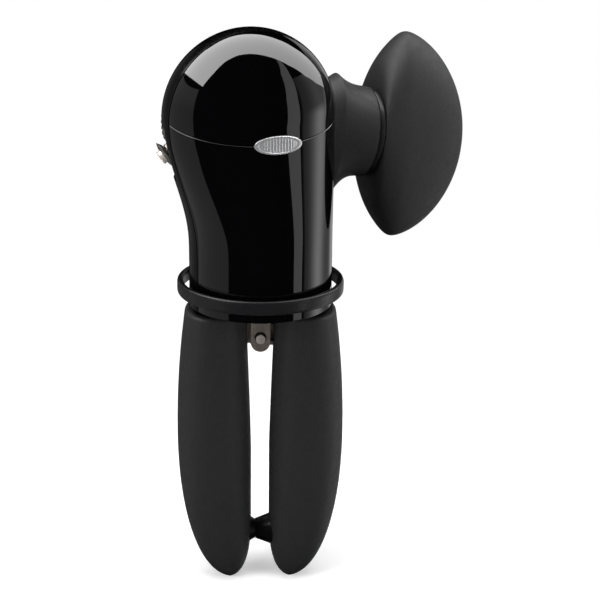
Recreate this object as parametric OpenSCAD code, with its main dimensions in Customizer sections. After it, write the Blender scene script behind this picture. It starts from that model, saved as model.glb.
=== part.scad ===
// Hand-held can opener with locking collar: head, turning knob, two squeeze handles.
// Millimetres. +X to the knob side, +Y to the back, +Z up.

/* [Head] */
// Radius of the round waist
waist_r = 24.8; // [20:0.1:31]
// Height of the waist's bottom lip above the toggle pin
lip_z = 13.6; // [11:0.1:17]
// Height where the round waist begins to swell into the dome
waist_top = 35; // [30:0.5:42]
// Height of the dome's centre
dome_z = 80.5; // [70:0.5:96]
// Half width of the dome
dome_a = 30.3; // [27:0.1:37]
// Half depth of the dome
dome_b = 22.5; // [20:0.1:27]
// Rise of the dome above its centre
dome_h = 30.2; // [26:0.1:36]
// Shift of the dome away from the knob
dome_shift = 4.4; // [2:0.1:7]
// Wall of the head shells
head_wall = 2.2; // [1.8:0.1:3]
// Twist of the head against the handles
head_twist = 17; // [0:0.5:25]
// Front shells end this far in front of the head's middle
split_y = 4.2; // [3:0.1:6]
// Rise of the seam towards the back
seam_tilt = 16; // [10:0.5:22]
// Half length of the oval badge
badge_a = 8.4; // [6:0.1:10]
// Half height of the oval badge
badge_b = 3.15; // [2.4:0.05:4]

/* [Knob] */
// Drive axis behind the head's middle
axis_y = 5; // [2:0.1:6]
// Downward tilt of the drive axis to the knob
axis_tilt = 8.2; // [4:0.1:10]
// Radius of the neck
neck_r = 15.7; // [13:0.1:18]
// Length of the neck sleeve
neck_len = 27; // [25:0.5:29]
// Half length of the knob's wings
knob_a = 36.2; // [31:0.1:45]
// Half width of the knob
knob_b = 16.2; // [15.8:0.1:20]
// Height of the knob's crown past the neck
knob_h = 37.6; // [33:0.1:46]
// Height of the wing tips past the neck
knob_tip = 12.4; // [11:0.1:15]
// Height of the knob's rim at its sides
knob_side = 9.6; // [8:0.1:10.8]
// Turn of the wings at rest
knob_turn = 11; // [0:1:30]
// Radius of the drive shaft
shaft_r = 3; // [2.5:0.1:3.6]
// Running clearance of shafts, pins and wheels
run_fit = 0.06; // [0.02:0.01:0.1]

/* [Wheels] */
// Outer radius of the feed wheel
feed_r = 8.5; // [7:0.1:9]
// Thickness of the feed wheel
feed_t = 2.4; // [2:0.1:2.9]
// Teeth on the feed wheel
feed_teeth = 22; // [18:1:26]
// Radius of the cutting wheel
cut_r = 5; // [4.6:0.1:6]
// Lean of the cutting wheel
cut_lean = 33; // [28:1:35]
// Gap between the wheels when closed
nip_gap = 0.35; // [0.3:0.05:0.6]
// Radius of the cutting wheel's axle
axle_r = 1.5; // [1.2:0.1:1.8]

/* [Handles] */
// Length of the handles below the toggle pin
handle_len = 90; // [75:0.1:108]
// Bulge of the handles past the waist
bulge = 4.5; // [3:0.1:6]
// Half gap between the handles
gap = 3.2; // [2.6:0.1:4]
// Half depth of a handle
grip_depth = 14; // [12:0.1:16]
// Soft layer over the handle core
grip_wall = 2.6; // [2:0.1:3.2]
// Radius of the handle pins
pivot_r = 2; // [1.6:0.1:2.4]
// Handle arm thickness
arm_t = 2; // [1.6:0.1:2.1]
// Height of the bumpers above the handle tips
bump_up = 17.7; // [16:0.1:21]
// Radius of the toggle pin
toggle_r = 1.65; // [1.4:0.05:1.8]
// Travel of the cutter carrier when the handles are open
travel = 3.06; // [2.6:0.01:3.2]

/* [Collar] */
// Gap between the waist and the lock ring
ring_gap = 2.2; // [1.8:0.1:3]
// Wall of the lock ring
ring_wall = 2; // [1.6:0.1:2.6]
// Height of the lock ring
ring_h = 4.8; // [4:0.1:5.4]
// Slide of the lock ring
ring_travel = 5; // [3:0.1:6]

/* [Hidden] */
$fn = 48;
fit = 0.15;
play = 0.5;
seam_z = dome_z - 5.3;
neck_x = dome_a + 9;
neck_z = dome_z - 10;
feed_x = dome_a + dome_shift - 3.1;
cut_x = feed_x + 3.6;
ring_in = waist_r + ring_gap;
ring_z = lip_z + 4.1;
handle_top = lip_z - 1.8;
span = waist_r + bulge;
span_top = waist_r + 1.5;
eye_r = 3.5;
pivot_z = lip_z + 5.4;
flat_y = waist_r - 0.6;
flat_z = 38;
in_r = waist_r - head_wall;
pivot_x = in_r - eye_r - 1.1;
web_z = lip_z + 12.4;
web_t = 2;
brk_y = 7.5;
brk_t = 2;
brk_x = sqrt(pow(in_r - 0.2, 2) - pow(brk_y + brk_t, 2)) - 0.1;
tab_w = 4.3;
tab_t = 2;
tab_y0 = -1.5;
cheek_y0 = 5.6;
cheek_t = 1.6;
arm_y_left = 1;
arm_y_right = arm_y_left + arm_t + 0.3;
pocket_y0 = arm_y_left - 0.6;
pocket_y1 = arm_y_right + arm_t + 0.6;
pin_z = 0.25;
feed_zl = -(neck_x + feed_x) / cos(axis_tilt);
feed_zc = neck_z + (neck_x + feed_x) * tan(axis_tilt);
nip_z = feed_zc - feed_r * cos(axis_tilt);
cut_cx = -cut_x + cut_r * sin(cut_lean);
cut_cz = nip_z - nip_gap - cut_r * cos(cut_lean);
shelf_z = web_z + 24;
shelf_t = 2;
coil_r = 6.6;
wire_r = 0.7;
coil_turns = 7;
ring_out = ring_in + ring_wall;
lug_in = in_r - 1;
lug_w = 5;
badge_x = -dome_shift * 0.35;
badge_r = 42;
screw_r = 1.5;
boss_r = 3;
bridge_z0 = lip_z + 1.9;
plate_zl = feed_zl + 7.3;
plate_t = 2;
arm_end_x = 6.2;

module row() translate([0, -flat_y, -flat_z]) children();
module head() rotate([0, 0, head_twist]) children();
module axis() translate([neck_x, axis_y, neck_z]) rotate([0, 90 + axis_tilt, 0]) children();
module cutter() translate([cut_cx, axis_y, cut_cz]) rotate([0, 90 - cut_lean, 0]) children();

// ---- smooth solids of stacked rings ----
function flat_list(l) = [for (a = l) for (b = a) b];
function sgnpow(v, p) = sign(v) * pow(abs(v), p);
function ease(s) = let (t = max(0, min(1, s))) t * t * (3 - 2 * t);

module stack(rings) {
  n = len(rings[0]);
  m = len(rings);
  pts = flat_list(rings);
  sides = [for (i = [0 : m - 2]) for (j = [0 : n - 1]) for (k = [0, 1])
    k == 0 ? [i * n + j, (i + 1) * n + j, (i + 1) * n + (j + 1) % n]
           : [i * n + j, (i + 1) * n + (j + 1) % n, i * n + (j + 1) % n]];
  low = [[for (j = [0 : n - 1]) j]];
  high = [[for (j = [0 : n - 1]) m * n - 1 - j]];
  polyhedron(points = pts, faces = concat(sides, low, high));
}

// ---- head form ----
head_n = 44;
function head_s(z) = ease((z - waist_top) / (dome_z - waist_top));
function head_cx(z) = -dome_shift * head_s(z);
function head_a(z) = waist_r + (dome_a - waist_r) * head_s(z);
function head_b(z) = waist_r + (dome_b - waist_r) * head_s(z);
function head_ring(z, cx, a, b) = [for (j = [0 : head_n - 1]) let (t = 360 * j / head_n)
  [cx + a * cos(t), b * sin(t), z]];
function head_rings(d, z0) = concat(
  [head_ring(z0, 0, waist_r - d, waist_r - d)],
  [for (i = [0 : 9]) let (z = waist_top + (dome_z - waist_top) * i / 10)
    head_ring(z, head_cx(z), head_a(z) - d, head_b(z) - d)],
  [for (i = [0 : 8]) let (f = i == 8 ? 86 : i * 10.5)
    head_ring(dome_z + (dome_h - d) * sin(f), -dome_shift,
      (dome_a - d) * cos(f), (dome_b - d) * cos(f))]);

module head_outer() stack(head_rings(0, lip_z));
module head_inner() stack(head_rings(head_wall, lip_z - 5));
module back_half() translate([-100, -split_y, -50]) cube([200, 100, 250]);
module front_half() translate([-100, -split_y - 100, -50]) cube([200, 100, 250]);

// screw posts that join the front shells to the back shell: [x, z]
posts = [[-14, dome_z + 13.5], [8, dome_z + 13.5], [-11, dome_z - 42], [11, dome_z - 42]];
module post(p, r, y0, y1) translate([p[0], y1, p[1]]) rotate([90, 0, 0]) cylinder(r = r, h = y1 - y0);

module wheel_window() {
  axis() translate([0, 0, feed_zl - 0.9]) cylinder(r = feed_r + play, h = 6.1);
  intersection() {
    axis() translate([0, 0, feed_zl - 9]) cylinder(r = feed_r + play, h = 14.2);
    translate([-60, axis_y - cut_r - 0.6, feed_zc - 40]) cube([40, 60, 80]);
  }
  translate([-50, axis_y - cut_r - 0.6, cut_cz - cut_r * cos(cut_lean) - travel - 1])
    cube([60.2 - cut_x, 2 * cut_r + 1.2, cut_r * 2 * cos(cut_lean) + travel + 7]);
}
module neck_hole() axis() translate([0, 0, -neck_len]) cylinder(r = neck_r - 4, h = neck_len);
module badge_oval(d, y0, y1) translate([badge_x, 0, seam_z]) rotate([90, 0, 0])
  translate([0, 0, -y1]) linear_extrude(y1 - y0)
    polygon([for (j = [0 : 47]) [(badge_a + d) * cos(7.5 * j), (badge_b + d) * sin(7.5 * j)]]);
module badge_drum(r) translate([badge_x, -head_b(seam_z) + badge_r, seam_z - 20]) cylinder(r = r, h = 40, $fn = 96);
module badge_pocket() difference() {
  badge_oval(0.15, -head_b(seam_z) - 5, -head_b(seam_z) + 5);
  badge_drum(badge_r - 0.9);
}

module rear_housing() color("#17181a") row() difference() {
  head() difference() {
    intersection() {
      head_outer();
      back_half();
    }
    difference() {
      head_inner();
      for (p = posts) post(p, boss_r, -split_y - 1, 30);
      axis() translate([-10.5, -5.5, plate_zl + plate_t]) cube([5.3, 40, 4.5]);
      rotate([0, 0, -head_twist]) for (s = [-1, 1])
        translate([s * 8, 30, pivot_z + 1]) rotate([90, 0, 0]) cylinder(r = boss_r, h = 30 - brk_y - brk_t);
    }
    for (p = posts) {
      post(p, screw_r, -split_y - 1, 30);
      post(p, 2.8, 15, 40);
    }
    wheel_window();
    neck_hole();
    axis() plate_holes(5.6);
  }
  translate([-20, flat_y, flat_z - 8]) cube([40, 10, 16]);
  for (s = [-1, 1]) translate([s * 8, 40, pivot_z + 1]) rotate([90, 0, 0]) {
    cylinder(r = screw_r, h = 34);
    cylinder(r = 2.8, h = 24);
  }
  for (t = [50, 130]) rotate([0, 0, t])
    translate([lug_in - 2, -lug_w / 2 - 0.3, ring_z - 0.3]) cube([12, lug_w + 0.6, ring_h + ring_travel + 0.6]);
}

module front_shell() head() difference() {
  intersection() {
    head_outer();
    front_half();
  }
  difference() {
    head_inner();
    for (p = posts) post(p, boss_r, -40, -split_y);
  }
  for (p = posts) post(p, screw_r, -14, -split_y + 1);
  wheel_window();
  neck_hole();
  badge_pocket();
}
module seam_cut(z) head() translate([0, -head_b(seam_z), seam_z]) rotate([seam_tilt, 0, 0])
  translate([-60, -60, z]) cube([120, 160, 100]);
module front_cap() color("#0a0a0c") row() difference() {
  front_shell();
  seam_cut(0.05 - 100);
}
module front_shield() color("#0a0a0c") row() difference() {
  front_shell();
  seam_cut(-0.05);
}
module badge() color("#c8c9cb") row() head() intersection() {
  badge_oval(0, -head_b(seam_z) - 5, -head_b(seam_z) + 5);
  difference() {
    badge_drum(badge_r + 0.5);
    badge_drum(badge_r - 0.9);
  }
}

// ---- neck, bushes, frame ----
function neck_t(z) = min(1.25, -z / 12.5);
function neck_ring(z) = [for (j = [0 : 35]) let (t = 10 * j, f = neck_t(z),
  rv = neck_r + (cos(t) > 0 ? 11 * pow(min(1, f), 3.2) : 3.9 * pow(f, 2.6)))
  [rv * cos(t), (neck_r - 1.6 * f) * sin(t), z]];
module neck_sleeve() color("#1b1c1e") row() head() difference() {
  union() {
    difference() {
      axis() stack([for (i = [0 : 9]) neck_ring(i == 0 ? -neck_len : -15.6 + 15.6 * (i - 1) / 8)]);
      head_outer();
    }
    axis() translate([0, 0, -neck_len]) cylinder(r = neck_r - 4, h = neck_len - 4);
  }
  axis() translate([0, 0, -neck_len - 1]) cylinder(r = neck_r - 7, h = neck_len + 2);
}
module neck_bush() color("#8a6a3a") row() head() axis() translate([0, 0, -neck_len]) difference() {
  cylinder(r = neck_r - 7, h = neck_len - 0.4);
  translate([0, 0, -1]) cylinder(r = shaft_r + run_fit, h = neck_len + 2);
}
module plate_holes(h) for (y = [-3, 2]) translate([-7.7, y, plate_zl - 0.1]) cylinder(r = 1.1, h = h);
module frame_plate() color("#8d8f93") row() head() axis() difference() {
  intersection() {
    translate([0, 0, plate_zl]) union() {
      cylinder(r = 7.6, h = plate_t);
      translate([-10, -5, 0]) cube([7, 9, plate_t]);
    }
    translate([-20, -20, plate_zl - 1]) cube([24.6, 40, 10]);
  }
  translate([0, 0, plate_zl - 1]) cylinder(r = shaft_r + 1.5, h = 9);
  plate_holes(5);
}
module frame_bush() color("#8a6a3a") row() head() axis() translate([0, 0, plate_zl]) difference() {
  union() {
    cylinder(r = shaft_r + 1.5, h = plate_t + 1);
    translate([0, 0, -1]) cylinder(r = shaft_r + 2, h = 1);
  }
  translate([0, 0, -2]) cylinder(r = shaft_r + run_fit, h = 9);
}
module plate_screws() color("#a9abae") row() head() axis() {
  translate([0, 0, 0.1]) plate_holes(5.4);
  for (y = [-3, 2]) translate([-7.7, y, plate_zl - 1.2]) cylinder(r = 2, h = 1.2);
}
module housing_screws() color("#5a5c60") row() head() for (p = posts) {
  post(p, screw_r, -13, 15);
  post(p, 2.7, 15, 17);
}
module hinge_bracket() color("#8d8f93") row() difference() {
  union() {
    translate([-brk_x, -brk_y - brk_t, web_z]) cube([2 * brk_x, 2 * (brk_y + brk_t), web_t]);
    for (y = [-brk_y - brk_t, brk_y])
      translate([-brk_x, y, lip_z + 0.6]) cube([2 * brk_x, brk_t, web_z - lip_z]);
  }
  translate([-tab_w - fit, tab_y0 - fit, 0]) cube([2 * (tab_w + fit), tab_t + 2 * fit, 60]);
  for (s = [-1, 1]) {
    translate([s * pivot_x, 20, pivot_z]) rotate([90, 0, 0]) cylinder(r = pivot_r, h = 40);
    translate([s * 8, 20, pivot_z + 1]) rotate([90, 0, 0]) cylinder(r = screw_r, h = 15);
  }
}
module bracket_screws() color("#a9abae") row() for (s = [-1, 1])
  translate([s * 8, 16, pivot_z + 1]) rotate([90, 0, 0]) {
    translate([0, 0, -1.8]) cylinder(r = 2.6, h = 1.8);
    cylinder(r = screw_r, h = 16 - brk_y);
  }
module handle_pins() color("#b5b6b8") row() for (s = [-1, 1])
  translate([s * pivot_x, brk_y + brk_t, pivot_z]) rotate([90, 0, 0])
    cylinder(r = pivot_r, h = 2 * (brk_y + brk_t));

// ---- opening spring ----
spring_lo = web_z + web_t + wire_r;
spring_hi = shelf_z - wire_r;
function coil_ring(k, n) = let (u = k / n, t = 360 * coil_turns * u)
  [for (j = [0 : 7]) let (q = 45 * j)
    [(coil_r + wire_r * cos(q)) * cos(t), (coil_r + wire_r * cos(q)) * sin(t),
     spring_lo + (spring_hi - spring_lo) * u + wire_r * sin(q)]];
module opening_spring() color("#9ea0a3") row()
  translate([0, tab_y0 + tab_t / 2, 0]) mirror([0, 1, 0]) stack([for (k = [0 : 112]) coil_ring(k, 112)]);

// ---- knob ----
knob_n = 48;
knob_z0 = 2.3;
function rim_w(t) = pow(abs(cos(t)), 3);
function rim_z(t) = knob_side + (knob_tip - knob_side) * rim_w(t);
function knob_low(u) = [for (j = [0 : knob_n - 1]) let (t = 360 * j / knob_n)
  [(neck_r - 0.3 + (knob_a - neck_r + 0.3) * u) * cos(t),
   (neck_r - 0.3 + (knob_b - neck_r + 0.3) * u) * sin(t),
   knob_z0 + (rim_z(t) - knob_z0) * pow(u, 2.4)]];
function knob_high(f) = [for (j = [0 : knob_n - 1]) let (t = 360 * j / knob_n)
  [knob_a * cos(f) * cos(t), knob_b * cos(f) * sin(t),
   rim_z(t) + (knob_h - rim_z(t)) * pow(sin(f), 1.23)]];
module knob_place() row() head() axis() rotate([0, 0, -knob_turn]) children();
module knob_grip() color("#1c1d1f") knob_place() difference() {
  stack(concat([for (u = [0, 0.25, 0.5, 0.7, 0.85, 0.95]) knob_low(u)],
    [for (f = [0, 5, 13, 23, 33, 44, 55, 66, 77, 86]) knob_high(f)]));
  translate([0, 0, -1]) cylinder(r = 10, h = 18);
}
module knob_core() color("#2a2b2d") knob_place() difference() {
  translate([0, 0, 1]) cylinder(r = 10, h = 16);
  translate([0, 0, -1]) cylinder(r = shaft_r, h = 15);
}
module knob_ring() color("#26272a") knob_place() translate([0, 0, 0.3]) difference() {
  cylinder(r = neck_r - 0.3, h = knob_z0 - 0.3);
  translate([0, 0, -1]) cylinder(r = 10, h = 5);
}
module knob_washer() color("#b5b6b8") knob_place() translate([0, 0, 0.1]) difference() {
  cylinder(r = 7.5, h = 0.9);
  translate([0, 0, -1]) cylinder(r = shaft_r, h = 5);
}
module drive_shaft() color("#b5b6b8") row() head() axis() {
  translate([0, 0, feed_zl - 0.6]) cylinder(r = shaft_r, h = 14.6 - feed_zl);
  translate([0, 0, feed_zl - 0.6]) cylinder(r = shaft_r + 0.8, h = 0.6);
  translate([0, 0, feed_zl + feed_t]) cylinder(r = shaft_r + 1, h = plate_zl - 1.1 - feed_zl - feed_t);
}
module feed_wheel() color("#b9a99a") row() head() axis() translate([0, 0, feed_zl]) difference() {
  linear_extrude(feed_t) polygon([for (j = [0 : 4 * feed_teeth - 1])
    let (r = (j % 4) < 2 ? feed_r : feed_r - 0.8, t = 90 * (j + ((j % 2) == 0 ? 0.25 : -0.25)) / feed_teeth)
    [r * cos(t), r * sin(t)]]);
  translate([0, 0, -1]) cylinder(r = shaft_r, h = 9);
}
module shaft_collar() color("#a9abae") row() head() axis()
  translate([0, 0, plate_zl + plate_t + 1.1]) difference() {
    cylinder(r = shaft_r + 1.6, h = 1.4);
    translate([0, 0, -1]) cylinder(r = shaft_r, h = 9);
  }

// ---- cutter carrier ----
module tab_outline() {
  translate([-tab_w + 0.9, 0]) square([2 * tab_w - 1.8, 7]);
  translate([-tab_w, 6.2]) square([2 * tab_w, cut_cz - 8.2]);
  circle(r = tab_w - 0.9);
  translate([0, -1.2]) circle(r = tab_w - 0.9);
}
module cutter_carrier() color("#9c8f84") row() difference() {
  union() {
    translate([0, tab_y0 + tab_t, 0]) rotate([90, 0, 0]) linear_extrude(tab_t) tab_outline();
    translate([-tab_w, tab_y0, bridge_z0]) cube([2 * tab_w, cheek_y0 + cheek_t - tab_y0, 6]);
    translate([-tab_w, cheek_y0, -1.2]) cube([2 * tab_w, cheek_t, bridge_z0 + 6 + 1.2]);
    translate([0, cheek_y0 + cheek_t, -1.2]) rotate([90, 0, 0]) cylinder(r = tab_w, h = cheek_t);
    translate([0, tab_y0 + tab_t / 2, shelf_z]) cylinder(r = 8, h = shelf_t);
    head() {
      translate([9.7 - cut_x, axis_y - 4, cut_cz - 6.3]) cube([cut_x - 4.2, 8, 5]);
      translate([4.6 - cut_x, axis_y - 4, cut_cz - 4]) cube([7.6, 8, 5.4]);
      cutter() translate([0, 0, 1.3]) cylinder(r = axle_r + 1.5, h = 6.4);
    }
  }
  translate([0, 20, pin_z + 0.45]) rotate([90, 0, 0]) {
    translate([0, 0, 19]) cylinder(r = toggle_r + 0.45, h = 10);
  }
  translate([0, 20, pin_z]) rotate([90, 0, 0]) cylinder(r = toggle_r, h = 16);
  head() cutter() translate([0, 0, -2]) cylinder(r = axle_r, h = 12);
  // room for both wheels
  head() cutter() translate([0, 0, -2]) cylinder(r = cut_r + 3 * play, h = 3.3);
  head() axis() translate([0, 0, feed_zl - play]) cylinder(r = feed_r + play, h = feed_t + 2 * play);
}
module cutter_axle() color("#b5b6b8") row() head() cutter() {
  translate([0, 0, -1.5]) cylinder(r = axle_r, h = 9.2);
  translate([0, 0, -2.1]) cylinder(r = axle_r + 0.9, h = 1.2);
}
module toggle_pin() color("#a89a8e") row() translate([0, cheek_y0 + cheek_t + 0.1, pin_z]) rotate([90, 0, 0])
  cylinder(r = toggle_r, h = cheek_y0 + cheek_t + 0.1 - tab_y0 + 0.9);
module cutting_wheel() color("#c4c5c7") row() head() cutter() rotate_extrude()
  polygon([[axle_r + run_fit, -0.8], [cut_r - 1.6, -0.8], [cut_r, -0.35], [cut_r, -0.2],
    [cut_r - 1.6, 0.8], [axle_r + run_fit, 1.2]]);

// ---- handles ----
grip_n = 32;
mid_z = -handle_len * 0.3556;
function out_x(z) = z > mid_z
  ? span - (span - span_top) * pow((z - mid_z) / (handle_top - mid_z), 2)
  : 10.5 + (span - 10.5) * sqrt(max(0, 1 - pow((mid_z - z) / (handle_len + mid_z), 2.2)));
function in_x(z) = let (t = max(0, (-handle_len + 24.6 - z) / 24.6), q = max(0, (z + 40) / 52))
  gap + 7.3 * (1 - sqrt(max(0, 1 - pow(min(1, t), 3)))) + 1.9 * pow(q, 1.2);
function deep(z) = z > mid_z ? grip_depth + 0.8 * pow((z - mid_z) / (handle_top - mid_z), 2)
  : grip_depth * sqrt(max(0, 1 - pow((mid_z - z) / (handle_len + mid_z + 0.6), 2.6)));
function grip_ring(z, d) = let (a = (out_x(z) - in_x(z)) / 2 - d, c = (out_x(z) + in_x(z)) / 2)
  [for (j = [0 : grip_n - 1]) let (t = 360 * j / grip_n)
    [-c + a * sgnpow(cos(t), 0.86), (deep(z) - d) * sgnpow(sin(t), 0.86), z]];
tip_f = [85.5, 81, 75, 68, 60, 50, 40, 30, 20, 10];
function grip_zs(d, top) = concat([for (f = tip_f) mid_z - (handle_len + mid_z) * sin(f)],
  [for (i = [0 : 7]) mid_z + (top - mid_z) * i / 7]);
module grip_solid() stack([for (z = grip_zs(0, handle_top)) grip_ring(z, 0)]);
core_zs = concat([for (f = [50, 40, 30, 20, 10]) mid_z - (handle_len + mid_z) * sin(f)],
  [for (i = [0 : 7]) mid_z + (handle_top - mid_z) * i / 7]);
module core_solid() stack([for (z = core_zs) grip_ring(z, grip_wall)]);
module arm_pocket() translate([-pivot_x - 4, pocket_y0, -7]) cube([pivot_x + 4, pocket_y1 - pocket_y0, 30]);
shank_z = mid_z - 18;
shank = [[-pivot_x - 3, pivot_z - 1], [-pivot_x + 3.2, pivot_z - 1],
  [-span + 18.3, shank_z], [-span + 9.7, shank_z]];
finger = [[-pivot_x - 1.6, pivot_z + 2.6], [-pivot_x + 2.4, pivot_z + 2.6], [arm_end_x, 3],
  [arm_end_x, -2.9], [-2.6, -2.9], [-pivot_x, 10]];
module arm(y0) translate([0, y0 + arm_t, 0]) rotate([90, 0, 0]) difference() {
  union() {
    translate([-pivot_x, pivot_z, 0]) cylinder(r = eye_r, h = arm_t);
    linear_extrude(arm_t) polygon(shank);
    linear_extrude(arm_t) polygon(finger);
  }
  translate([-pivot_x, pivot_z, -1]) cylinder(r = pivot_r + run_fit, h = arm_t + 2);
  translate([-0.2, pin_z - toggle_r - fit, -1]) cube([3.65, 2 * (toggle_r + fit), arm_t + 2]);
  for (x = [-0.2, 3.45]) translate([x, pin_z, -1]) cylinder(r = toggle_r + fit, h = arm_t + 2);
}
module arm_cut(y0) translate([0, y0 + arm_t, 0]) rotate([90, 0, 0]) linear_extrude(arm_t) polygon(shank);

bump_z = bump_up - handle_len;
module bumper(r1, r2, x0) translate([x0, 0, bump_z]) rotate([0, -90, 0]) {
  cylinder(r1 = r1, r2 = r2, h = gap + x0 + 1.6);
  cylinder(r = 2.2, h = gap + x0 + grip_wall + 3);
}
module left_bump() bumper(3.4, 5.2, -1.75);
module right_bump() bumper(3.6, 6, 1.65);

module left_grip() color("#232427") row() difference() {
  grip_solid();
  core_solid();
  arm_pocket();
  left_bump();
}
module left_core() color("#3a3b3e") row() difference() {
  core_solid();
  arm_pocket();
  arm_cut(arm_y_left);
  left_bump();
}
module left_arm() color("#9c8f84") row() arm(arm_y_left);
module left_bumper() color("#111214") row() left_bump();
module right_grip() color("#232427") row() mirror([1, 0, 0]) difference() {
  grip_solid();
  core_solid();
  arm_pocket();
  right_bump();
}
module right_core() color("#3a3b3e") row() mirror([1, 0, 0]) difference() {
  core_solid();
  arm_pocket();
  arm_cut(arm_y_right);
  right_bump();
}
module right_arm() color("#9c8f84") row() mirror([1, 0, 0]) arm(arm_y_right);
module right_bumper() color("#111214") row() mirror([1, 0, 0]) right_bump();

// ---- lock ring ----
module lock_ring() color("#141517") row() {
  rotate_extrude() polygon([[ring_in, ring_z + 0.3], [ring_in + 0.3, ring_z], [ring_out - 0.6, ring_z],
    [ring_out, ring_z + 0.6], [ring_out, ring_z + ring_h - 0.6], [ring_out - 0.6, ring_z + ring_h],
    [ring_in + 0.3, ring_z + ring_h], [ring_in, ring_z + ring_h - 0.3]]);
  for (t = [50, 130]) rotate([0, 0, t])
    translate([lug_in, -lug_w / 2, ring_z]) cube([ring_in + 0.8 - lug_in, lug_w, ring_h]);
}

rear_housing();
front_cap();
front_shield();
badge();
neck_sleeve();
neck_bush();
frame_plate();
frame_bush();
plate_screws();
housing_screws();
hinge_bracket();
bracket_screws();
handle_pins();
opening_spring();
knob_grip();
knob_core();
knob_ring();
knob_washer();
drive_shaft();
feed_wheel();
shaft_collar();
cutter_carrier();
cutter_axle();
toggle_pin();
cutting_wheel();
left_grip();
left_core();
left_arm();
left_bumper();
right_grip();
right_core();
right_arm();
right_bumper();
lock_ring();
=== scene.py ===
"""Looks for the hand-held can opener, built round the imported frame.

Sizes are millimetres about the toggle pin until to_row() puts them in the row frame in metres.
"""
import math
import bmesh
import bpy
import numpy as np
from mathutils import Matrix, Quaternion, Vector

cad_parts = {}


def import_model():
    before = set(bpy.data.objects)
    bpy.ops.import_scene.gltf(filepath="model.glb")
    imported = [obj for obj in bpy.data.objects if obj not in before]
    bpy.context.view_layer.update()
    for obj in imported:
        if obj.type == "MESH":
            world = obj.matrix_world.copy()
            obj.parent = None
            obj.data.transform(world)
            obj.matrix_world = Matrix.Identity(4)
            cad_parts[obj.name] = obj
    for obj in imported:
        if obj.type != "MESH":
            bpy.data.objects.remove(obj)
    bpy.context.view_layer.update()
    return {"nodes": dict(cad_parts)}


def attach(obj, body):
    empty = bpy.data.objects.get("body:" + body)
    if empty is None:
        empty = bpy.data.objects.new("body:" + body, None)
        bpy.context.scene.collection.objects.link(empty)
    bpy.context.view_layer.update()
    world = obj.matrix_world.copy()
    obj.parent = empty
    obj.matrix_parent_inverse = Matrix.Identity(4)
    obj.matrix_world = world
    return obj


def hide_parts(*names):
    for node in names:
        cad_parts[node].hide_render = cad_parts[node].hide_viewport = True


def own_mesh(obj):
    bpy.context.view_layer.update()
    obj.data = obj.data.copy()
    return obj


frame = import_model()
NODES = frame["nodes"]
SCENE = bpy.context.scene
MM = 0.001

# ---- sizes, as in the CAD
WAIST_R, LIP_Z, WAIST_TOP = 24.8, 13.6, 35.0
DOME_Z, DOME_A, DOME_B, DOME_H, DOME_SHIFT = 80.5, 30.3, 22.5, 30.2, 4.4
TWIST, SPLIT_Y, WALL = 17.0, 4.2, 2.2
SEAM_Z, SEAM_TILT = DOME_Z - 5.3, 16.0
BADGE_A, BADGE_B, BADGE_DRUM = 8.4, 3.15, 42.0
BADGE_X = -DOME_SHIFT * 0.35
NECK_X, AXIS_Y, NECK_Z, TILT = DOME_A + 9, 5.0, DOME_Z - 10, 8.2
NECK_R = 15.7
KNOB_A, KNOB_B, KNOB_H, KNOB_TIP, KNOB_SIDE, KNOB_TURN = 36.2, 16.2, 37.6, 12.4, 9.6, 11.0
FEED_R, FEED_T, FEED_TEETH, SHAFT_R = 8.5, 2.4, 22, 3.0
FEED_X = DOME_A + DOME_SHIFT - 3.1
CUT_R, CUT_LEAN, CUT_X, NIP_GAP, TRAVEL = 5.0, 33.0, FEED_X + 3.6, 0.35, 3.06
HANDLE_LEN, HANDLE_TOP, GAP, DEPTH = 90.0, LIP_Z - 1.8, 3.2, 14.0
SPAN, SPAN_TOP, MID_Z = WAIST_R + 4.5, WAIST_R + 1.5, -HANDLE_LEN * 0.3556
RING_IN, RING_WALL, RING_Z, RING_H, RING_TRAVEL = WAIST_R + 2.2, 2.0, LIP_Z + 4.1, 4.8, 5.0
FLAT_Y, FLAT_Z = WAIST_R - 0.6, 38.0
PLAY = 0.5
SCREW_R = 2.8
HEAD_SCREWS = ((-14, DOME_Z + 13.5), (8, DOME_Z + 13.5), (-11, DOME_Z - 42), (11, DOME_Z - 42))
BRACKET_SCREWS = ((-8, LIP_Z + 6.4), (8, LIP_Z + 6.4))
LUG_ANGLES = (50, 130)
SHELF_Z, SPRING_BASE, SPRING_Y = LIP_Z + 36.4, LIP_Z + 14.4, -0.5

# ---- places worked out from the sizes: the feed wheel's and the cutting wheel's
REACH = (NECK_X + FEED_X) / math.cos(math.radians(TILT))
FEED_ZC = NECK_Z + (NECK_X + FEED_X) * math.tan(math.radians(TILT))
CUT_CX = -CUT_X + CUT_R * math.sin(math.radians(CUT_LEAN))
CUT_DROP = CUT_R * math.cos(math.radians(CUT_LEAN))
CUT_CZ = FEED_ZC - FEED_R * math.cos(math.radians(TILT)) - NIP_GAP - CUT_DROP


# ---- placing
def to_row(p):
    """Millimetres about the toggle pin to metres in the row frame."""
    return (np.asarray(p, float) - [0, FLAT_Y, FLAT_Z]) * MM


def turn(p, deg, axis):
    """Turns points about the Z or the Y axis."""
    c, s = math.cos(math.radians(deg)), math.sin(math.radians(deg))
    x, y, z = np.moveaxis(np.asarray(p, float), -1, 0)
    if axis == "z":
        return np.stack([c * x - s * y, s * x + c * y, z], -1)
    return np.stack([c * x + s * z, y, -s * x + c * z], -1)


def head_to_main(p):
    """From the head's own frame, which is twisted against the handles."""
    return turn(p, TWIST, "z")


def axis_to_main(p):
    """From the knob's shaft, with Z along it towards the knob and X down."""
    return head_to_main(turn(p, 90 + TILT, "y") + [NECK_X, AXIS_Y, NECK_Z])


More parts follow.
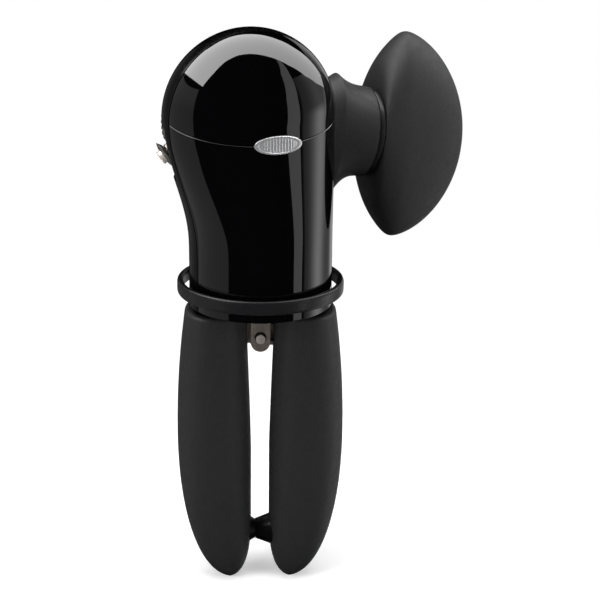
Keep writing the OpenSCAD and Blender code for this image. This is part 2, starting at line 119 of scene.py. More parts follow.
def cutter_to_main(p):
    """From the cutting wheel's leaning axle."""
    return head_to_main(turn(p, 90 - CUT_LEAN, "y") + [CUT_CX, AXIS_Y, CUT_CZ])


# ---- mesh building
def make(name, verts, faces):
    """A smooth-shaded object with its doubles merged and its faces turned outwards."""
    me = bpy.data.meshes.new(name)
    me.from_pydata([tuple(v) for v in verts], [], faces)
    me.validate()
    bm = bmesh.new()
    bm.from_mesh(me)
    bmesh.ops.remove_doubles(bm, verts=bm.verts, dist=1e-7)
    bmesh.ops.recalc_face_normals(bm, faces=bm.faces)
    bm.to_mesh(me)
    bm.free()
    me.polygons.foreach_set("use_smooth", [True] * len(me.polygons))
    ob = bpy.data.objects.new(name, me)
    SCENE.collection.objects.link(ob)
    return ob


def grid(name, rings, caps=(True, True), closed=True, loop=False):
    """A skin over an (m, n, 3) array of points; loop also joins the last ring to the first."""
    pts = to_row(rings)
    m, n = pts.shape[:2]
    faces = []
    for i in range(m if loop else m - 1):
        k = (i + 1) % m
        for j in range(n if closed else n - 1):
            q = (j + 1) % n
            faces.append((i * n + j, i * n + q, k * n + q, k * n + j))
    if closed and not loop and caps[0]:
        faces.append(tuple(range(n - 1, -1, -1)))
    if closed and not loop and caps[1]:
        faces.append(tuple(range((m - 1) * n, m * n)))
    return make(name, pts.reshape(-1, 3), faces)


def lathe(name, profile, place, n=128, loop=False):
    """profile: (radius, height) points turned about the local Z of place()."""
    t = np.linspace(0, 2 * math.pi, n, endpoint=False)
    prof = np.asarray(profile, float)
    rings = np.stack([prof[:, :1] * np.cos(t), prof[:, :1] * np.sin(t), prof[:, 1:] + 0 * t], -1)
    return grid(name, place(rings), loop=loop)


def rounded(points, radius, steps=5):
    """The closed outline with each corner rounded by arcs of about that radius."""
    pts = [np.asarray(p, float) for p in points]
    out = []
    n = len(pts)
    for i, p in enumerate(pts):
        a, b = pts[i - 1] - p, pts[(i + 1) % n] - p
        la, lb = np.linalg.norm(a), np.linalg.norm(b)
        d = min(radius, la * 0.45, lb * 0.45)
        for s in np.linspace(0, 1, steps):
            bend = (1 - s) ** 2 * (p + a / la * d) + 2 * s * (1 - s) * p + s ** 2 * (p + b / lb * d)
            out.append(bend)
    return np.array(out)


def outward(ob, middle):
    """Turns an open skin so that its faces look away from middle."""
    me = ob.data
    c = Vector(to_row(middle))
    total = sum(p.normal.dot(p.center - c) * p.area for p in me.polygons)
    if total < 0:
        me.flip_normals()


def bevel(ob, width, segments=3, angle=35):
    b = ob.modifiers.new("edge", "BEVEL")
    b.width = width * MM
    b.segments = segments
    b.limit_method = "ANGLE"
    b.angle_limit = math.radians(angle)
    b.harden_normals = True
    return b


def settle(ob, *tools):
    """Applies the modifiers and drops the cutting tools."""
    dg = bpy.context.evaluated_depsgraph_get()
    me = bpy.data.meshes.new_from_object(ob.evaluated_get(dg))
    ob.modifiers.clear()
    ob.data = me
    for t in tools:
        bpy.data.objects.remove(t, do_unlink=True)


def cut(ob, tool):
    """Adds a cut by tool, which settle() carries out and removes."""
    b = ob.modifiers.new("cut", "BOOLEAN")
    b.operation = "DIFFERENCE"
    b.solver = "EXACT"
    b.object = tool
    tool.hide_render = True
    return tool


def box_tool(lo, hi, place=lambda p: p):
    (a, b, c), (d, e, f) = lo, hi
    ring = [[a, b], [d, b], [d, e], [a, e]]
    return grid("tool", place(np.array([[[x, y, z] for x, y in ring] for z in (c, f)])))


def tube_tool(r, z0, z1, place, n=64):
    return lathe("tool", [(r, z0), (r, z1)], place, n)


def dress(ob, body, mat, slot, *nodes):
    """Gives the piece its material and its body, and hides the nodes it stands for; the slot argument is
    not used.
    """
    ob.data.materials.clear()
    ob.data.materials.append(mat)
    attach(ob, body)
    if nodes:
        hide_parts(*nodes)
    return ob


# ---- materials
def material(name, color, rough, metallic=0.0, grain=None, smudge=None, tint=None, spec=0.5):
    """A Principled surface with noise in its colour, its roughness and its bump.

    grain: (scale per metre, bump strength, bump distance in metres, stretch or nothing)
    smudge: (scale per metre, lowest roughness, highest roughness, stretch or nothing)
    tint: (scale per metre, second colour)
    """
    m = bpy.data.materials.new(name)
    m.use_nodes = True
    nt = m.node_tree
    b = nt.nodes["Principled BSDF"]
    b.inputs["Base Color"].default_value = (*color, 1)
    b.inputs["Roughness"].default_value = rough
    b.inputs["Metallic"].default_value = metallic
    b.inputs["Specular IOR Level"].default_value = spec
    at = nt.nodes.new("ShaderNodeTexCoord")

    def noise(scale, detail, stretch=None):
        n = nt.nodes.new("ShaderNodeTexNoise")
        n.inputs["Scale"].default_value = scale
        n.inputs["Detail"].default_value = detail
        src = at.outputs["Object"]
        if stretch:
            mp = nt.nodes.new("ShaderNodeMapping")
            mp.inputs["Scale"].default_value = stretch
            nt.links.new(src, mp.inputs["Vector"])
            src = mp.outputs["Vector"]
        nt.links.new(src, n.inputs["Vector"])
        return n.outputs["Fac"]

    if smudge:
        r = nt.nodes.new("ShaderNodeMapRange")
        r.inputs["From Min"].default_value = 0.3
        r.inputs["From Max"].default_value = 0.7
        r.inputs["To Min"].default_value = smudge[1]
        r.inputs["To Max"].default_value = smudge[2]
        nt.links.new(noise(smudge[0], 4, smudge[3] if len(smudge) > 3 else None), r.inputs["Value"])
        nt.links.new(r.outputs["Result"], b.inputs["Roughness"])
    if tint:
        mix = nt.nodes.new("ShaderNodeMix")
        mix.data_type = "RGBA"
        mix.inputs["A"].default_value = (*color, 1)
        mix.inputs["B"].default_value = (*tint[1], 1)
        nt.links.new(noise(tint[0], 5), mix.inputs["Factor"])
        nt.links.new(mix.outputs["Result"], b.inputs["Base Color"])
    if grain:
        bp = nt.nodes.new("ShaderNodeBump")
        bp.inputs["Strength"].default_value = grain[1]
        bp.inputs["Distance"].default_value = grain[2]
        nt.links.new(noise(grain[0], 3, grain[3] if len(grain) > 3 else None), bp.inputs["Height"])
        nt.links.new(bp.outputs["Normal"], b.inputs["Normal"])
    return m


GLOSS = material("gloss_black", (0.0008, 0.0008, 0.001), 0.03, smudge=(55, 0.02, 0.05),
                 grain=(30, 0.05, 0.0002))
SATIN = material("satin_black", (0.0012, 0.0012, 0.0014), 0.2, smudge=(300, 0.16, 0.24),
                 grain=(2600, 0.06, 0.00004), spec=0.1)
SOFT = material("soft_black", (0.0075, 0.0075, 0.008), 0.55, grain=(2300, 0.5, 0.00011),
                smudge=(420, 0.48, 0.6), tint=(900, (0.0135, 0.0135, 0.0141)), spec=0.2)
RING = material("ring_black", (0.0055, 0.0055, 0.006), 0.3, smudge=(240, 0.24, 0.36),
                grain=(2400, 0.1, 0.00004), spec=0.22)
BUMPER = material("bumper_black", (0.0015, 0.0015, 0.0018), 0.3, smudge=(500, 0.28, 0.42),
                  grain=(2000, 0.2, 0.00006), spec=0.25)
CORE = material("core_plastic", (0.02, 0.02, 0.021), 0.5, smudge=(300, 0.42, 0.58),
                grain=(1800, 0.2, 0.00006))
BADGE = material("badge_metal", (0.5, 0.5, 0.51), 0.3, 0.75, smudge=(900, 0.22, 0.38, (1, 1, 8)),
                 grain=(1400, 0.12, 0.00004, (1, 1, 10)))
PLATE = material("tumbled_steel", (0.36, 0.315, 0.27), 0.4, 0.4, smudge=(700, 0.32, 0.5),
                 grain=(1500, 0.25, 0.00006), tint=(500, (0.24, 0.205, 0.172)))
WHEEL = material("wheel_steel", (0.15, 0.143, 0.136), 0.34, 0.75, smudge=(900, 0.26, 0.42),
                 grain=(2200, 0.2, 0.00005), tint=(800, (0.09, 0.085, 0.08)))
PIN = material("pin_steel", (0.6, 0.55, 0.5), 0.3, 0.35, smudge=(900, 0.22, 0.4),
               grain=(1600, 0.15, 0.00004))
ZINC = material("zinc_steel", (0.3, 0.31, 0.32), 0.4, 0.6, smudge=(600, 0.3, 0.5),
                grain=(1600, 0.2, 0.00005), tint=(400, (0.2, 0.2, 0.2)))
BRONZE = material("sintered_bronze", (0.22, 0.13, 0.05), 0.45, 0.7, smudge=(700, 0.38, 0.55),
                  grain=(3000, 0.3, 0.00005), tint=(1200, (0.14, 0.08, 0.03)))


# ---- head form
def settle_curve(values, at, width):
    """Rounds the corners of a curve so that reflections run through it smoothly."""
    w = np.exp(-0.5 * ((at[None, :] - at[:, None]) / width) ** 2)
    return (w * values[None, :]).sum(1) / w.sum(1)


LEVELS = np.linspace(-20, 125, 581)
SWELL = np.clip((LEVELS - WAIST_TOP) / (DOME_Z - WAIST_TOP), 0, 1)
SWELL = settle_curve(SWELL * SWELL * (3 - 2 * SWELL), LEVELS, 3.0)


def level(z):
    """Centre shift, half width and half depth of the head at height z."""
    z = np.asarray(z, float)
    s = np.interp(np.minimum(z, DOME_Z), LEVELS, SWELL)
    k = np.sqrt(np.maximum(0.0, 1 - np.maximum(0.0, (z - DOME_Z) / DOME_H) ** 2))
    half_width = (WAIST_R + (DOME_A - WAIST_R) * s) * k
    half_depth = (WAIST_R + (DOME_B - WAIST_R) * s) * k
    return -DOME_SHIFT * s, half_width, half_depth


SEAM_Y = -float(level(SEAM_Z)[2])
GAP_EDGE, HALF_SEAM, CAP_STEP = SPLIT_Y + 0.3, 0.13, 0.12


def front_point(z, v, edge, inset=0.0):
    """Point on the front half: v runs from -1 at the left edge to 1 at the right."""
    cx, a, b = level(z)
    a, b = a - inset, b - inset
    t = v * np.arccos(np.clip(edge / np.maximum(b, edge), 0, 1))
    return np.stack([cx + a * np.sin(t), -b * np.cos(t), z + 0 * t], -1)


def seam_height(v, offset):
    """Height at which the front meets the tilted seam plane, found by repeated steps."""
    slope = math.tan(math.radians(SEAM_TILT))
    z = np.full_like(v, SEAM_Z)
    for _ in range(25):
        z = SEAM_Z + offset + (front_point(z, v, GAP_EDGE)[..., 1] - SEAM_Y) * slope
    return z


def front_skins():
    """The outer skins of the cap and the shield, with the cap a small step inside the shield."""
    v = np.sin(np.radians(np.linspace(-90, 90, 121)))
    v = 0.35 * v + 0.65 * np.linspace(-1, 1, 121)
    w = np.linspace(0, 1, 110)[:, None]
    low = seam_height(v, -HALF_SEAM)
    shield = front_point(LIP_Z + (low - LIP_Z) * w, v, GAP_EDGE)
    top = DOME_Z + DOME_H * math.sqrt(1 - ((GAP_EDGE + CAP_STEP) / DOME_B) ** 2) - 0.002
    high = seam_height(v, HALF_SEAM)
    cap = front_point(high + (top - high) * np.sin(w * math.pi / 2), v, GAP_EDGE, CAP_STEP)
    cap_skin = grid("front_cap_shell", head_to_main(cap), closed=False)
    shield_skin = grid("front_shield_shell", head_to_main(shield), closed=False)
    return cap_skin, shield_skin


def rear_skin(n=141):
    """The back half of the head, which runs over the top to the front covers' edge."""
    rows = []
    zs = np.concatenate([np.linspace(LIP_Z, DOME_Z, 80, endpoint=False),
                         DOME_Z + DOME_H * np.sin(np.radians(np.linspace(0, 89.6, 60)))])
    for z in zs:
        cx, a, b = level(z)
        am = math.pi - math.acos(min(1.0, SPLIT_Y / max(b, 1e-6)))
        if b <= SPLIT_Y:
            am = math.pi
        t = np.linspace(am, -am, n)
        rows.append(np.stack([cx + a * np.sin(t), b * np.cos(t), np.full(n, z)], -1))
    return grid("rear_shell", head_to_main(np.array(rows)), closed=False)


def thicken(ob, thickness):
    """Gives the skin a wall on its inner side."""
    s = ob.modifiers.new("wall", "SOLIDIFY")
    s.thickness = thickness * MM
    s.offset = -1


def hole_tool(x, y, z, length, place=lambda p: p):
    """A screw recess that starts at depth y and runs backwards."""
    def along_y(p):
        return place(np.stack([p[..., 0] + x, y + p[..., 2], p[..., 1] + z], -1))
    return tube_tool(SCREW_R, 0, length, along_y)


def rear_tools():
    """Wheel window, flat back, screw recesses and the collar's slots."""
    window_low = (-50, AXIS_Y - CUT_R - 0.6, CUT_CZ - CUT_DROP - TRAVEL - 1)
    window_high = (10.2 - CUT_X, AXIS_Y + CUT_R + 0.6, CUT_CZ + CUT_DROP + 6)
    yield tube_tool(FEED_R + PLAY, -REACH - 0.9, -REACH + 5.2, axis_to_main)
    yield box_tool(window_low, window_high, head_to_main)
    yield box_tool((-20, FLAT_Y, FLAT_Z - 8), (20, FLAT_Y + 10, FLAT_Z + 8))
    for x, z in HEAD_SCREWS:
        yield hole_tool(x, 14, z, 40, head_to_main)
    for x, z in BRACKET_SCREWS:
        yield hole_tool(x, 16, z, 24)
    slot_low = (18, -2.8, RING_Z - 0.3)
    slot_high = (32, 2.8, RING_Z + RING_H + RING_TRAVEL + 0.3)
    for deg in LUG_ANGLES:
        yield box_tool(slot_low, slot_high, lambda p, deg=deg: turn(p, deg, "z"))


def build_head():
    """The two glossy front covers and the satin back shell."""
    middle = head_to_main(np.array([-2.0, 0.0, 60.0]))
    cap, shield = front_skins()
    for ob, node in ((cap, "front_cap"), (shield, "front_shield")):
        outward(ob, middle)
        thicken(ob, 1.9)
        bevel(ob, 0.42, 4)
        dress(ob, "head", GLOSS, "gloss_shell", node)
    rear = rear_skin()
    outward(rear, middle)
    thicken(rear, 2.0)
    tools = [cut(rear, tool) for tool in rear_tools()]
    settle(rear, *tools)
    bevel(rear, 0.3, 3)
    dress(rear, "head", SATIN, "satin_shell", "rear_housing")


def badge_lift(rho, u, field=0.8, shoulder=0.93, base=0.42, border=0.22, rib=0.13, pitch=1.05):
    """Height of the badge above its drum: a rib pattern within the field, a raised border round it."""
    lift = np.full_like(u, base)
    if rho > field:
        rise = math.sin(min(1, (rho - field) / 0.1) * math.pi / 2)
        fall = 1 if rho < shoulder else math.cos((rho - shoulder) / (1 - shoulder) * 1.3)
        return lift + border * rise * fall
    fade = np.clip((field - rho) * 6, 0, 1) * np.clip((BADGE_A * 0.62 - np.abs(u)) * 2, 0, 1)
    return lift + rib * fade * np.cos(u * 2 * math.pi / pitch)


def build_badge():
    """A curved oval plate with a raised rim and fine plain ribs between its ends."""
    t = np.linspace(0, 2 * math.pi, 144, endpoint=False)
    rows = []
    for rho in np.concatenate([np.linspace(0, 0.8, 60), np.linspace(0.815, 1, 16)]):
        u, w = BADGE_A * rho * np.cos(t), BADGE_B * rho * np.sin(t)
        r = BADGE_DRUM + badge_lift(rho, u)
        y = SEAM_Y + BADGE_DRUM - np.sqrt(r ** 2 - u ** 2)
        rows.append(np.stack([BADGE_X + u, y, SEAM_Z + w], -1))
    y = SEAM_Y + BADGE_DRUM - np.sqrt((BADGE_DRUM - 0.8) ** 2 - u ** 2)
    rows.append(np.stack([BADGE_X + u, y, SEAM_Z + w], -1))
    ob = grid("badge_plate", head_to_main(np.array(rows)), caps=(False, True))
    dress(ob, "head", BADGE, "badge_metal", "badge")


# ---- neck and knob
def build_neck(edge=0.3, root=-15.6, buried=11.4):
    """The rubber neck: a rounded end, a flare towards the head and a stretch buried in it."""
    t = np.radians(np.arange(0, 360, 2.5))
    end = -edge * (1 - np.sin(np.radians(np.linspace(0, 90, 6))))
    rows = [np.stack([(NECK_R - 4) * np.cos(t), (NECK_R - 4) * np.sin(t), np.full(t.shape, -0.02)], -1)]
    for z in np.concatenate([end, np.linspace(-0.6, root, 50)]):
        f = -z / 12.5
        flare = np.where(np.cos(t) > 0, 11 * min(1, f) ** 3.2, 3.9 * min(f, 2 - f) ** 2.6)
        inset = edge - math.sqrt(max(0, edge ** 2 - (edge + z) ** 2)) if z > -edge else 0
        x = (NECK_R + flare - inset) * np.cos(t)
        y = (NECK_R - 1.6 * f - inset) * np.sin(t)
        rows.append(np.stack([x, y, np.full(t.shape, z)], -1))
    rows.append(rows[-1] - [0, 0, buried])
    dress(grid("neck_cover", axis_to_main(np.array(rows))), "head", SOFT, "soft_rubber", "neck_sleeve")


def wing_turn(p):
    """The knob's turn on its shaft at rest."""
    return turn(p, -KNOB_TURN, "z")


def knob_rows(t, z0=2.35, r0=NECK_R - 0.4):
    """Rings of the winged knob, from its neck out to the rim and over its crown."""
    rim = KNOB_SIDE + (KNOB_TIP - KNOB_SIDE) * np.abs(np.cos(t)) ** 3
    rows = []
    for u in np.linspace(0, 1, 60)[:-1]:
        x = (r0 + (KNOB_A - r0) * u) * np.cos(t)
        y = (r0 + (KNOB_B - r0) * u) * np.sin(t)
        rows.append(np.stack([x, y, z0 + (rim - z0) * u ** 2.4], -1))
    for f in np.radians(np.linspace(0, 89, 80)):
        x = KNOB_A * math.cos(f) * np.cos(t)
        y = KNOB_B * math.cos(f) * np.sin(t)
        rows.append(np.stack([x, y, rim + (KNOB_H - rim) * math.sin(f) ** 1.23], -1))
    return np.array(rows)


def soften(rows, widest=1.5):
    """Rounds the rim by averaging each profile along its own length, less so near its ends."""
    steps = np.linalg.norm(np.diff(rows, axis=0), axis=-1)
    run = np.concatenate([[np.zeros(rows.shape[1])], np.cumsum(steps, 0)])
    soft = rows.copy()
    for j in range(rows.shape[1]):
        s = run[:, j]
        width = np.clip(np.minimum(s / 2.5, (s[-1] - s) / 2.5), 1e-3, widest)
        k = np.exp(-0.5 * ((s[None, :] - s[:, None]) / width[:, None]) ** 2) * np.gradient(s)[None, :]
        soft[:, j] = (k @ rows[:, j]) / k.sum(1)[:, None]
    soft[0] = rows[0]
    soft[-1] = rows[-1]
    return soft


def build_knob(n=160):
    """The rubber knob and the narrow ring between it and the neck."""
    t = np.linspace(0, 2 * math.pi, n, endpoint=False)
    ob = grid("knob_cover", axis_to_main(wing_turn(soften(knob_rows(t)))))
    dress(ob, "knob", SOFT, "soft_rubber", "knob_grip")
    inner, outer, low, high = NECK_R - 3, NECK_R - 0.3, 0.3, 2.1
    lip = rounded([(inner, low), (outer, low), (outer, high), (inner, high)], 0.35)
    ring = lathe("knob_collar", lip, lambda p: axis_to_main(wing_turn(p)), loop=True)
    dress(ring, "knob", RING, "core_plastic", "knob_ring")


# ---- wheels
def build_feed_wheel():
    """The toothed wheel, the same from both faces."""
    t = np.linspace(0, 2 * math.pi, FEED_TEETH * 12, endpoint=False)
    wave = 0.5 - 0.5 * np.cos(t * FEED_TEETH)
    tooth = np.clip(wave * 1.5 - 0.15, 0, 1)
    half = ((0.0, 6.2), (0.0, 1.6), (0.05, 0.9), (0.3, 0.25), (0.6, 0))
    rows = []
    for z, inset in half + tuple((FEED_T - z, inset) for z, inset in reversed(half)):
        depth = 0.9 if inset < 1 else 0.35 if inset < 2 else 0
        r = np.maximum(FEED_R - inset - depth * tooth, SHAFT_R - 0.6)
        rows.append(np.stack([r * np.cos(t), r * np.sin(t), np.full(t.shape, -REACH + z)], -1))
    ob = grid("feed_wheel_toothed", axis_to_main(np.array(rows)))
    dress(ob, "knob", WHEEL, "wheel_steel", "feed_wheel")


def build_cutting_wheel(hub=1.56):
    """The free wheel with its bevelled edge."""
    prof = rounded([(hub, -0.8), (CUT_R - 1.6, -0.8), (CUT_R - 0.02, -0.3), (CUT_R - 0.02, -0.22),
                    (CUT_R - 1.6, 0.8), (hub + 0.9, 1.1), (hub, 1.15)], 0.12)
    ob = lathe("cutting_wheel_blade", prof, cutter_to_main, loop=True)
    dress(ob, "cutter", WHEEL, "wheel_steel", "cutting_wheel")


# ---- handles
def sgnpow(v, p):
    """A power that keeps the sign."""
    return np.sign(v) * np.abs(v) ** p


def grip_section(z, inset=0.0):
    """Half width, middle and half depth of a handle grip at height z."""
    up = (z - MID_Z) / (HANDLE_TOP - MID_Z)
    down = max(0.0, (MID_Z - z) / (HANDLE_LEN + MID_Z))
    if z > MID_Z:
        out_x, deep = SPAN - (SPAN - SPAN_TOP) * up ** 2, DEPTH + 0.8 * up ** 2
    else:
        out_x = 10.5 + (SPAN - 10.5) * math.sqrt(max(0, 1 - down ** 2.2))
        deep = DEPTH * math.sqrt(max(0, 1 - ((MID_Z - z) / (HANDLE_LEN + MID_Z + 0.6)) ** 2.6))
    t = min(1, max(0, (-HANDLE_LEN + 24.6 - z) / 24.6))
    q = max(0, (z + 40) / 52)
    in_x = GAP + 7.3 * (1 - math.sqrt(1 - t ** 3)) + 1.9 * q ** 1.2
    return (out_x - in_x) / 2 - inset, (out_x + in_x) / 2, deep - inset


def build_grip(side, name, n=112, shoulder=1.5):
    """One soft handle grip with a rounded tip and a rounded top edge."""
    t = np.linspace(0, 2 * math.pi, n, endpoint=False)
    tip = np.radians(np.linspace(88.6, 0, 70))
    levels = [(MID_Z - (HANDLE_LEN + MID_Z) * math.sin(f), 0) for f in tip]
    levels += [(z, 0) for z in np.linspace(MID_Z, HANDLE_TOP - shoulder, 50)[1:]]
    levels += [(HANDLE_TOP - shoulder + shoulder * math.sin(a), shoulder * (1 - math.cos(a)))
               for a in np.radians(np.linspace(0, 90, 9))[1:]]
    rows = []
    for z, inset in levels:
        a, c, d = grip_section(z, inset)
        x = side * (c - a * sgnpow(np.cos(t), 0.86))
        y = -side * d * sgnpow(np.sin(t), 0.86)
        rows.append(np.stack([x, y, np.full(n, z)], -1))
    x = side * (c - 0.2 * a * np.cos(t))
    y = -side * 0.2 * d * np.sin(t)
    rows.append(np.stack([x, y, np.full(n, HANDLE_TOP)], -1))
    ob = grid(name + "_soft_grip", np.array(rows))
    dress(ob, name + "_handle", SOFT, "soft_rubber", name + "_grip")


def build_ring():
    """The lock collar with its two lugs."""
    lo, hi, out = RING_Z, RING_Z + RING_H, RING_IN + RING_WALL
    prof = rounded([(RING_IN, lo + 0.2), (out - 0.3, lo), (out, lo + 0.8), (out, hi - 0.8), (out - 0.4, hi),
                    (RING_IN, hi)], 0.7, 6)
    ob = lathe("lock_ring_band", prof, lambda p: p, 160, loop=True)
    bm = bmesh.new()
    bm.from_mesh(ob.data)
    lug_low = (WAIST_R - WALL - 1, -2.5, lo)
    lug_high = (RING_IN + 0.8, 2.5, hi)
    for deg in LUG_ANGLES:
        lug = box_tool(lug_low, lug_high, lambda p, deg=deg: turn(p, deg, "z"))
        bm.from_mesh(lug.data)
        bpy.data.objects.remove(lug, do_unlink=True)
    bm.to_mesh(ob.data)
    bm.free()
    dress(ob, "collar", RING, "core_plastic", "lock_ring")


def build_spring(turns=7, coil=6.6, wire=0.7, low=SPRING_BASE, high=SHELF_Z, y=SPRING_Y):
    """The coil in the head, built here at one fixed length, though the real coil shortens as the carrier
    comes down.
    """
    u = np.linspace(0, 1, 257)[:, None]
    q = np.radians(np.arange(0, 360, 30))
    r = coil + wire * np.cos(q)
    t = 2 * math.pi * turns * u
    z = low + wire + (high - low - 2 * wire) * u + wire * np.sin(q)
    rows = np.stack([r * np.cos(t), y - r * np.sin(t), z], -1)
    ob = grid("return_coil", rows)
    dress(ob, "head", PIN, "spring_steel", "opening_spring")
    tuple(to_row([0, y, low]))
    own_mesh(ob)


# ---- the CAD nodes that stay, with a worn edge and a finish
KEPT = {
    "neck_bush": (BRONZE, 0), "frame_bush": (BRONZE, 0),
    "frame_plate": (ZINC, 0.2), "plate_screws": (ZINC, 0.2),
    "housing_screws": (ZINC, 0.3), "hinge_bracket": (ZINC, 0.2),
    "bracket_screws": (ZINC, 0.3), "handle_pins": (PIN, 0.2),
    "knob_core": (CORE, 0.2), "knob_washer": (ZINC, 0),
    "drive_shaft": (PIN, 0.2), "shaft_collar": (ZINC, 0.2),
    "cutter_carrier": (PLATE, 0.22), "cutter_axle": (PIN, 0.2), "toggle_pin": (PIN, 0.22),
    "left_core": (CORE, 0), "right_core": (CORE, 0),
    "left_arm": (PLATE, 0.2), "right_arm": (PLATE, 0.2),
    "left_bumper": (BUMPER, 0.45), "right_bumper": (BUMPER, 0.45),
}


def dress_kept():
    """Finishes and worn edges for the CAD nodes that stay."""
    for name, (mat, edge) in KEPT.items():
        ob = NODES[name]
        for s in ob.material_slots:
            s.material = mat
        if edge:
            bevel(ob, edge, 2, 40)


build_head()
build_badge()
build_neck()
build_knob()
build_feed_wheel()
build_cutting_wheel()
for side, name in ((-1, "left"), (1, "right")):
    build_grip(side, name)
build_ring()
build_spring()
dress_kept()

# ---- studio
PANEL_R = 1.5
LIGHT_R = 1.0
CENTRE = Vector(to_row([0, 0, 40]))
FLOOR_Z = float(to_row([0, 0, -HANDLE_LEN])[2]) - 0.0004


def emitter(name):
    """Light whose strength is painted on the panel's corners."""
    m = bpy.data.materials.new(name)
    m.use_nodes = True
    nt = m.node_tree
    nt.nodes.clear()
    out = nt.nodes.new("ShaderNodeOutputMaterial")
    em = nt.nodes.new("ShaderNodeEmission")
    at = nt.nodes.new("ShaderNodeAttribute")
    at.attribute_name = "glow"
    nt.links.new(at.outputs["Color"], em.inputs["Color"])
    nt.links.new(em.outputs["Emission"], out.inputs["Surface"])
    return m


GLOW = emitter("panel_glow")


def directions(sky):
    """Unit directions from azimuth and height in degrees, azimuth 0 in front and 90 on the knob's side."""
    az, el = np.moveaxis(np.radians(sky), -1, 0)
    return np.stack([np.sin(az) * np.cos(el), -np.cos(az) * np.cos(el), np.sin(el)], -1)


def panel(name, sky, strength):
    """A light panel seen only in reflections: sky is an (m, n, 2) grid of azimuth and height round the
    object, and strength is the glow at each grid point."""
    d = directions(sky) * PANEL_R + np.array(CENTRE)
    m, n = d.shape[:2]
    faces = [(i * n + j, i * n + j + 1, (i + 1) * n + j + 1, (i + 1) * n + j) for i in range(m - 1)
             for j in range(n - 1)]
    me = bpy.data.meshes.new(name)
    me.from_pydata([tuple(v) for v in d.reshape(-1, 3)], [], faces)
    layer = me.color_attributes.new("glow", "FLOAT_COLOR", "POINT")
    s = np.broadcast_to(strength, (m, n)).reshape(-1)
    colors = np.stack([s, s, s, np.ones_like(s)], -1).astype(np.float32)
    layer.data.foreach_set("color", colors.reshape(-1))
    me.materials.append(GLOW)
    ob = bpy.data.objects.new(name, me)
    SCENE.collection.objects.link(ob)
    ob.visible_camera = False
    ob.visible_diffuse = False
    ob.visible_shadow = False


def along(points, steps):
    """Evenly spread points along a bent line of azimuths and heights."""
    p = np.array(points, float)
    s = np.concatenate([[0], np.cumsum(np.linalg.norm(np.diff(p, axis=0), axis=-1))])
    q = np.linspace(0, s[-1], steps)
    return np.stack([np.interp(q, s, p[:, 0]), np.interp(q, s, p[:, 1])], -1)


def over_the_top(points, steps=60):
    """The same for a line spread as directions, so that it can pass straight overhead."""
    d = directions(np.array(points, float))
    s = np.concatenate([[0], np.cumsum(np.linalg.norm(np.diff(d, axis=0), axis=-1))])
    q = np.linspace(0, s[-1], steps)
    d = np.stack([np.interp(q, s, d[:, k]) for k in range(3)], -1)
    return d / np.linalg.norm(d, axis=-1, keepdims=True)


def between(a, b, steps):
    """Rows of points from line a to line b."""
    w = np.linspace(0, 1, steps)[:, None, None]
    return a[None] * (1 - w) + b[None] * w


def bump(x, middle, width):
    """A bell curve of height 1."""
    return np.exp(-((x - middle) / width) ** 2)


def left_panels():
    """A large soft panel on the left, brighter at its top, and a dim one behind it."""
    inner = along([(-56, 29), (-55, 8), (-54, -12), (-54, -24), (-60, -34), (-62, -45)], 40)
    outer = along([(-118, 27), (-118, 8), (-118, -12), (-122, -26), (-126, -34), (-130, -45)], 40)
    sky = between(inner, outer, 8)
    panel("left_panel", sky, 0.36 + 0.13 * np.clip((sky[..., 1] - 5) / 15, 0, 1))
    inner = along([(-118, 27), (-118, -45)], 20)
    outer = along([(-160, 20), (-160, -45)], 20)
    panel("left_far_panel", between(inner, outer, 8), 0.16)


def strip_panel():
    """The narrow upright strip that shows right of the badge."""
    inner = along([(76, 54), (61, 38), (54.5, 13), (53.5, -8), (52.5, -16), (51, -30)], 40)
    outer = along([(79, 50), (73, 34), (68.5, 11), (68.5, -8), (67.5, -16), (66.5, -30)], 40)
    panel("strip_panel", between(inner, outer, 3), 1.12)


def right_panel():
    """The wide panel on the right, brightest low down beside the knob."""
    sky = between(along([(70, 30), (70, -45)], 60), along([(162, 24), (162, -45)], 60), 70)
    az, el = sky[..., 0], sky[..., 1]
    low = np.clip((3 - el) / 8, 0.24, 1)
    glow = 1.75 * bump(az, 100, 14) * low + 0.7 * bump(az, 121, 6) * bump(el, 0, 7)
    glow += 0.27 * np.clip((az - 70) / 4, 0, 1) + 0.45 * np.clip((az - 138) / 10, 0, 1)
    panel("right_panel", sky, glow)


def overhead_panel():
    """The bright band that arches over the head and dims towards the knob."""
    near = over_the_top([(-52, 33), (-45, 50), (-38, 67), (-8, 77), (42, 75), (70, 61), (83, 42),
                         (95, 25), (108, 14), (126, 4)])
    back = over_the_top([(-122, 26), (-126, 40), (-138, 50), (-168, 53), (170, 53), (146, 47),
                         (134, 36), (131, 20), (130, 9), (129, 4)])
    d = between(near, back, 12)
    d /= np.linalg.norm(d, axis=-1, keepdims=True)
    sky = np.degrees(np.stack([np.arctan2(d[..., 0], -d[..., 1]), np.arcsin(d[..., 2])], -1))
    panel("overhead_panel", sky, 8.6 - 5.6 * np.linspace(0, 1, 60) ** 1.6)


def area(name, size, power, az, el):
    """A soft light that lights surfaces but doesn't show in reflections."""
    d = bpy.data.lights.new(name, "AREA")
    d.shape = "RECTANGLE"
    d.size, d.size_y = size
    d.energy = power
    ob = bpy.data.objects.new(name, d)
    SCENE.collection.objects.link(ob)
    v = Vector(directions(np.array([az, el], float)))
    ob.location = CENTRE + v * LIGHT_R
    ob.rotation_euler = v.to_track_quat("Z", "Y").to_euler()
    ob.visible_glossy = False
    ob.visible_camera = False


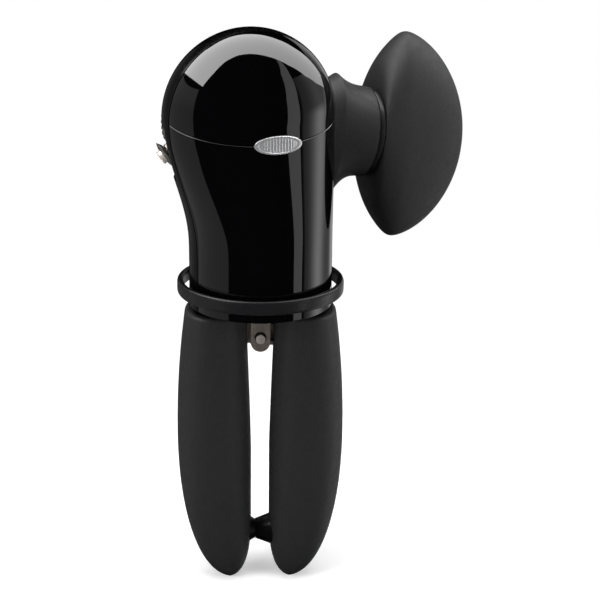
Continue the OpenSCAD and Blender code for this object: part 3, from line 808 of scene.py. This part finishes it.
def floor():
    """A pale round floor that fades out into the white of the backdrop."""
    bpy.ops.mesh.primitive_circle_add(vertices=96, radius=1.6, fill_type="NGON",
                                      location=(CENTRE.x, CENTRE.y, FLOOR_Z))
    ob = bpy.context.object
    ob.name = "floor"
    m = bpy.data.materials.new("pale_floor")
    m.use_nodes = True
    nt = m.node_tree
    b = nt.nodes["Principled BSDF"]
    b.inputs["Base Color"].default_value = (0.94, 0.94, 0.94, 1)
    b.inputs["Roughness"].default_value = 0.7
    b.inputs["Emission Color"].default_value = (1, 1, 1, 1)
    b.inputs["Emission Strength"].default_value = 0.3
    at = nt.nodes.new("ShaderNodeTexCoord")
    away = nt.nodes.new("ShaderNodeVectorMath")
    away.operation = "LENGTH"
    fade = nt.nodes.new("ShaderNodeMapRange")
    fade.inputs["From Min"].default_value = 0.12
    fade.inputs["From Max"].default_value = 0.5
    clear = nt.nodes.new("ShaderNodeBsdfTransparent")
    mix = nt.nodes.new("ShaderNodeMixShader")
    nt.links.new(at.outputs["Object"], away.inputs[0])
    nt.links.new(away.outputs["Value"], fade.inputs["Value"])
    nt.links.new(fade.outputs["Result"], mix.inputs["Fac"])
    nt.links.new(b.outputs["BSDF"], mix.inputs[1])
    nt.links.new(clear.outputs["BSDF"], mix.inputs[2])
    nt.links.new(mix.outputs["Shader"], nt.nodes["Material Output"].inputs["Surface"])
    ob.data.materials.append(m)
    ob.visible_glossy = False


def world():
    """White behind the object, and a weak even fill for surfaces."""
    w = bpy.data.worlds.new("studio")
    SCENE.world = w
    w.use_nodes = True
    nt = w.node_tree
    bg = nt.nodes["Background"]
    path = nt.nodes.new("ShaderNodeLightPath")
    add = nt.nodes.new("ShaderNodeMath")
    add.operation = "MULTIPLY_ADD"
    add.inputs[1].default_value = 0.22
    nt.links.new(path.outputs["Is Diffuse Ray"], add.inputs[0])
    nt.links.new(path.outputs["Is Camera Ray"], add.inputs[2])
    nt.links.new(add.outputs[0], bg.inputs["Strength"])
    bg.inputs["Color"].default_value = (1, 1, 1, 1)


def camera(yaw=3.0, pitch=18.0, dist=0.800, aside=13.8, height=14.2, focal=137.5, roll=0.5):
    """The main view: yaw and pitch in degrees, target aside and height in millimetres."""
    t, e = math.radians(yaw), math.radians(pitch)
    look = Vector((math.sin(t) * math.cos(e), math.cos(t) * math.cos(e), -math.sin(e)))
    target = Vector(to_row([aside * math.cos(t), -aside * math.sin(t), height]))
    data = bpy.data.cameras.new("camera")
    ob = bpy.data.objects.new("camera", data)
    SCENE.collection.objects.link(ob)
    ob.location = target - look * dist
    level_turn = (-look).to_track_quat("Z", "Y")
    ob.rotation_euler = (level_turn @ Quaternion((0, 0, 1), math.radians(roll))).to_euler()
    data.sensor_width, data.lens = 36, focal
    data.clip_start = 0.01
    SCENE.camera = ob


left_panels()
strip_panel()
right_panel()
overhead_panel()
area("top_light", (0.9, 0.7), 8, 0, 80)
area("left_light", (0.5, 0.9), 17, -58, 4)
area("right_light", (0.5, 0.9), 11, 55, 4)
floor()
world()
camera()
SCENE.view_settings.view_transform = "Standard"
